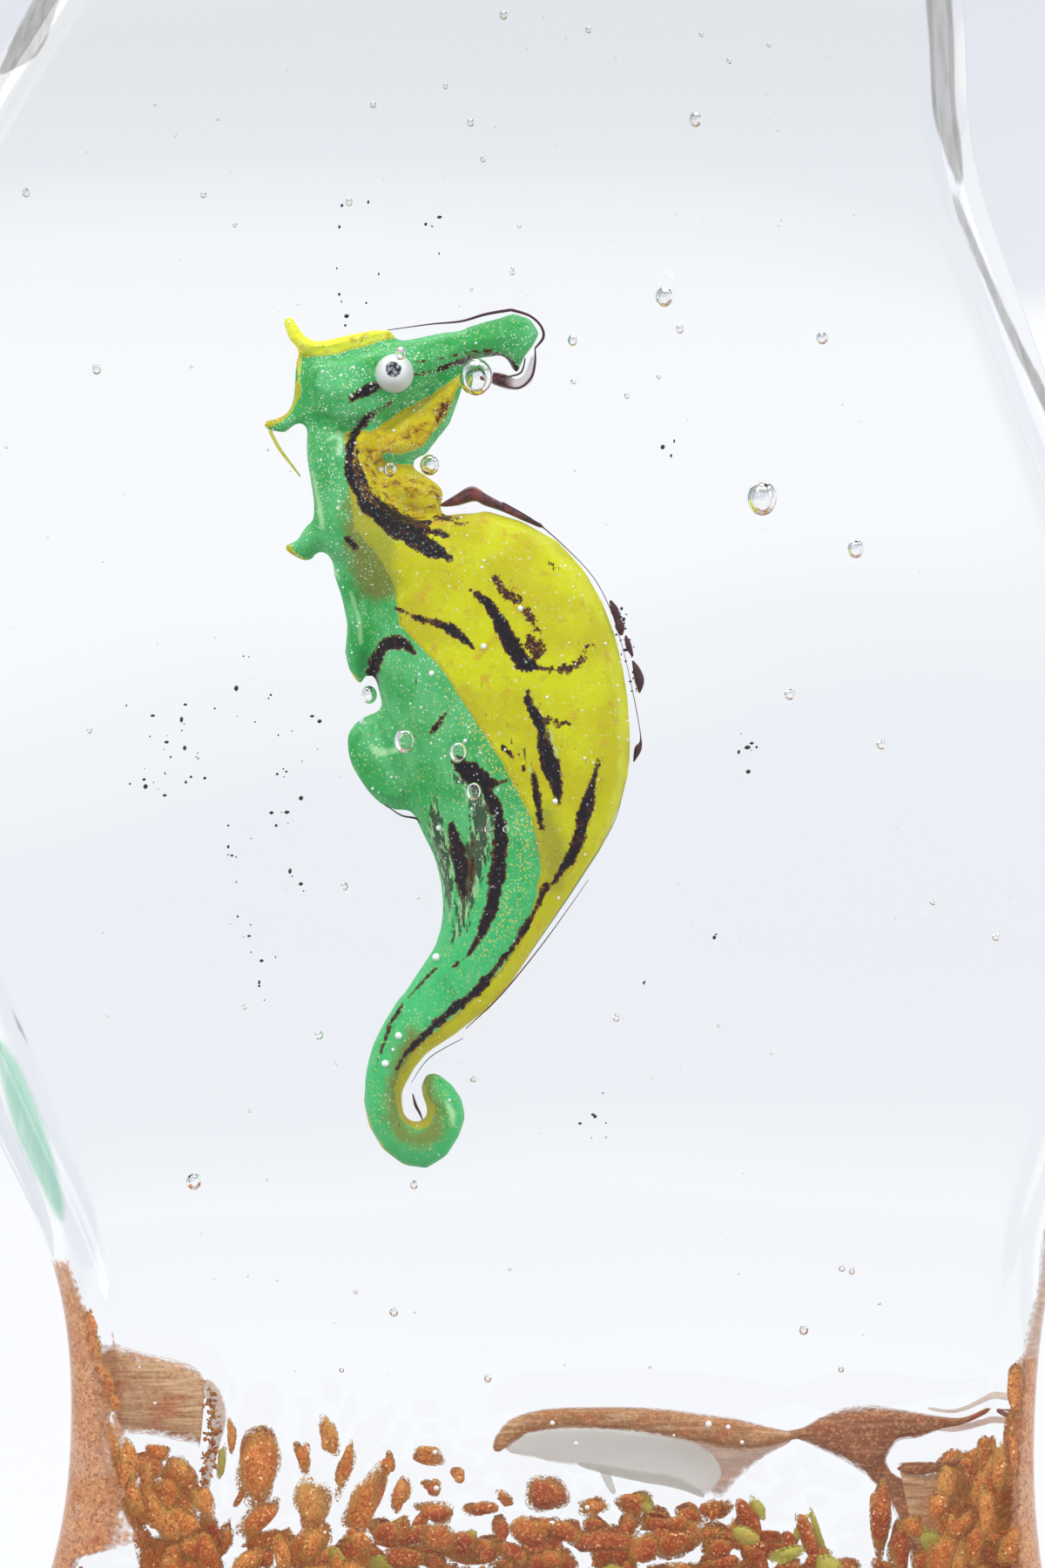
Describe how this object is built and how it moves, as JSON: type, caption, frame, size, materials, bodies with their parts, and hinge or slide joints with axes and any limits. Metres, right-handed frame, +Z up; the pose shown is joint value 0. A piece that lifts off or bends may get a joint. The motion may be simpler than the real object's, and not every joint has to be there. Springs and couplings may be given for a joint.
{
  "type": "glass seahorse sculpture",
  "caption": "Lampworked green and yellow glass seahorse set in a solid clear freeform glass body over a bed of terracotta chips.",
  "frame": {"origin": "middle of the flat foot, on the surface the sculpture stands on", "axes": "+Z up; +X to the side the seahorse's snout points to; the front of the glass faces -Y"},
  "size_m": [0.0918, 0.04, 0.15],
  "materials": {
    "clear_glass": "fire-polished, colourless",
    "terracotta_glass": "terracotta aventurine chips in clear glass",
    "green_glass": "opaque green rod with gold flecks",
    "yellow_glass": "opaque yellow rod",
    "purple_glass": "dark purple stringer",
    "white_glass": "opaque white bead with a dark pupil"
  },
  "bodies": {
    "root": {"glass_front": "clear_glass", "glass_back": "clear_glass", "seabed": "terracotta_glass", "bed_arch": "terracotta_glass", "bed_sheet": "terracotta_glass", "head": "green_glass", "snout": "green_glass", "mouth": "green_glass", "lower_lip": "purple_glass", "throat": "yellow_glass", "crest": "yellow_glass", "eye_front": "white_glass", "eye_back": "white_glass", "chest_ruff": "yellow_glass", "breast_ridge": "purple_glass", "nape_spine_upper": "green_glass", "nape_spine_middle": "green_glass", "nape_spine_lower": "green_glass", "dorsal_fin": "green_glass", "neck_back": "green_glass", "neck_front": "yellow_glass", "trunk_back": "green_glass", "belly": "yellow_glass", "tail_upper_back": "green_glass", "tail_upper_front": "yellow_glass", "tail_lower_back": "green_glass", "tail_lower_front": "yellow_glass", "tail_curl": "green_glass"}
  },
  "joints": []
}
